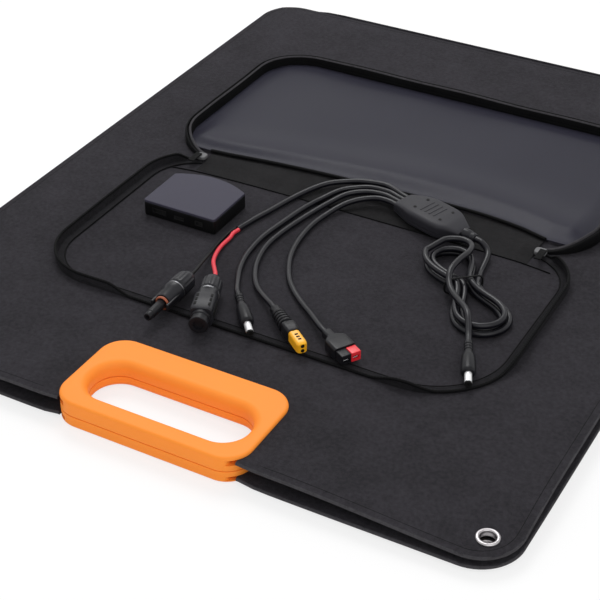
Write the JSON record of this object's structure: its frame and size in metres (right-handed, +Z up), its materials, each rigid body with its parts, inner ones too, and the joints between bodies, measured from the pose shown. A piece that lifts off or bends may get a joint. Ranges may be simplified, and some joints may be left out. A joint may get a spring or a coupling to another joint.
{
  "type": "folding solar panel suitcase",
  "caption": "Fabric-covered folding solar suitcase with a moulded carry handle, corner eyelets and an open zip pouch holding a controller box and a fan-out charging cable set.",
  "frame": {"origin": "bottom face of the lower cover, at the middle of the case", "axes": "+X right along the handle edge, +Y away from the handle edge, +Z up from the table"},
  "size_m": [0.532, 0.6611, 0.0403],
  "materials": {
    "cover_fabric": "matte woven",
    "core_board": "plain",
    "solar_cells": "smooth dark cells under a clear sheet",
    "binding": "woven tape",
    "handle": "satin moulded",
    "zip_tape": "woven tape with zip teeth",
    "lining": "smooth coated",
    "controller_black": "fine texture",
    "controller_grey": "fine texture",
    "circuit_board": "lacquered",
    "moulding": "moulded",
    "cord": "smooth jacket",
    "red_wire": "smooth jacket",
    "black_wire": "smooth jacket",
    "seal": "matte",
    "yellow_housing": "moulded",
    "red_housing": "moulded",
    "tie": "coated wire",
    "eyelet": "bright plated",
    "zip_metal": "dark plated",
    "socket_metal": "plain",
    "plug_metal": "nickel plated"
  },
  "bodies": {
    "lower_panel": {"lower_cover": "cover_fabric", "lower_core_board": "core_board", "lower_solar_laminate": "solar_cells", "lower_spine_leaf": "binding", "lower_handle_outer": "handle", "lower_handle_inner": "handle", "lower_eyelet_left": "eyelet", "lower_eyelet_right": "eyelet"},
    "upper_panel": {"upper_cover": "cover_fabric", "upper_core_board": "core_board", "upper_solar_laminate": "solar_cells", "upper_spine_leaf": "binding", "upper_handle_outer": "handle", "upper_handle_inner": "handle", "upper_eyelet_left": "eyelet", "upper_eyelet_right": "eyelet", "pouch_zip_rim": "zip_tape", "pouch_back_strip": "cover_fabric", "zip_slider_left": "zip_metal", "zip_slider_right": "zip_metal", "controller_base": "controller_black", "controller_cover": "controller_grey", "controller_circuit_board": "circuit_board", "usb_a_socket": "socket_metal", "usb_c_socket": "socket_metal", "dc_output_socket": "socket_metal"},
    "pouch_lid": {"pouch_lid_panel": "cover_fabric", "pouch_lid_wall": "zip_tape", "pouch_lid_lining": "lining"},
    "zip_pull_left": {"zip_pull_left": "zip_metal"},
    "zip_pull_right": {"zip_pull_right": "zip_metal"},
    "cable_set": {"splitter_lower_shell": "moulding", "splitter_upper_shell": "moulding", "trunk_strain_relief": "moulding", "branch_cord_1": "cord", "branch_cord_2": "cord", "branch_cord_3": "cord", "branch_cord_4": "cord", "red_wire": "red_wire", "black_wire": "black_wire", "trunk_cord_lead": "cord", "trunk_cord_hank": "cord", "trunk_cord_tail": "cord", "hank_tie": "tie", "male_connector_nut": "moulding", "male_connector_body": "moulding", "male_connector_pin_tube": "moulding", "male_connector_seal": "seal", "female_connector_nut": "moulding", "female_connector_body": "moulding", "female_connector_socket": "moulding", "charge_plug_body": "moulding", "charge_plug_barrel": "plug_metal", "trunk_plug_body": "moulding", "trunk_plug_barrel": "plug_metal", "battery_connector_boot": "moulding", "battery_connector_housing": "yellow_housing", "pole_connector_shroud": "moulding", "pole_connector_red": "red_housing", "pole_connector_black": "moulding"}
  },
  "joints": [
    {"name": "case_fold", "type": "hinge", "parent": "lower_panel", "child": "upper_panel", "pos_m": [0, 0.3297, 0.0095], "axis": [-1, 0, 0], "range_deg": [0, 180]},
    {"name": "pouch_lid_hinge", "type": "hinge", "parent": "upper_panel", "child": "pouch_lid", "pos_m": [0, 0.0045, 0.0303], "axis": [1, 0, 0], "range_deg": [0, 172]},
    {"name": "zip_pull_left_flip", "type": "hinge", "parent": "upper_panel", "child": "zip_pull_left", "pos_m": [-0.162, 0.0035, 0.025], "axis": [-1, 0, 0], "range_deg": [0, 120]},
    {"name": "zip_pull_right_flip", "type": "hinge", "parent": "upper_panel", "child": "zip_pull_right", "pos_m": [0.158, 0.0035, 0.025], "axis": [-1, 0, 0], "range_deg": [0, 120]},
    {"name": "cable_set_lift", "type": "slide", "parent": "upper_panel", "child": "cable_set", "axis": [0, 0, 1], "range_m": [0, 0.12]}
  ]
}
